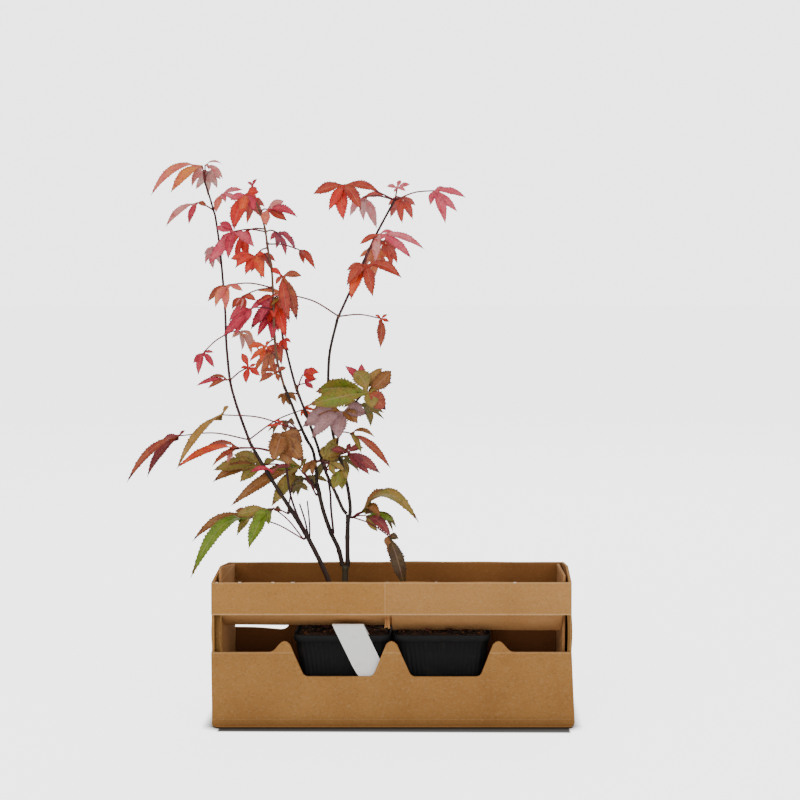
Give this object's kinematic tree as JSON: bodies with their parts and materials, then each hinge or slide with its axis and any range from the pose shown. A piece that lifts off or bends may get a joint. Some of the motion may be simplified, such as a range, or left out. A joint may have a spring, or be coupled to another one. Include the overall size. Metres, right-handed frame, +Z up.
{
  "type": "potted japanese maple",
  "caption": "Young maple in autumn leaf, a clump of slender stems in a square nursery pot that stands in the left bay of a folded kraft board planter, beside a second pot of compost.",
  "frame": {"origin": "middle of the planter's flat underside", "axes": "+X along the planter to the right bay, +Y to the back, +Z up"},
  "size_m": [0.4061, 0.1272, 0.5212],
  "materials": {
    "kraft": "matte kraft board",
    "kraft_inside": "matte kraft board",
    "pot": "matte ribbed plastic",
    "soil": "moist bark compost",
    "label": "satin plastic",
    "bark": "smooth young bark",
    "coral_leaf": "soft leaf",
    "scarlet_leaf": "soft leaf",
    "bronze_leaf": "soft leaf",
    "olive_leaf": "soft leaf"
  },
  "bodies": {
    "root": {"planter_floor": "kraft_inside", "front_wall": "kraft", "back_wall": "kraft", "front_rail": "kraft", "back_rail": "kraft", "front_flap_left": "kraft_inside", "front_flap_right": "kraft_inside", "back_flap_left": "kraft_inside", "back_flap_right": "kraft_inside", "left_end": "kraft", "right_end": "kraft", "left_liner": "kraft_inside", "right_liner": "kraft_inside", "pot": "pot", "soil": "soil", "right_pot": "pot", "right_soil": "soil", "label": "label", "trunk": "bark", "left_stem": "bark", "middle_stem": "bark", "right_stem": "bark", "tall_bough": "bark", "inner_bough": "bark", "red_bough": "bark", "left_crown": "coral_leaf", "tall_crown": "scarlet_leaf", "red_crown": "scarlet_leaf", "inner_crown": "scarlet_leaf", "side_shoot": "bronze_leaf", "foot_spray": "olive_leaf", "knee_spray": "olive_leaf", "stub_spray": "bronze_leaf", "right_spray": "bronze_leaf", "centre_shoot": "olive_leaf", "centre_fan": "olive_leaf", "gold_spray": "bronze_leaf"}
  },
  "joints": []
}
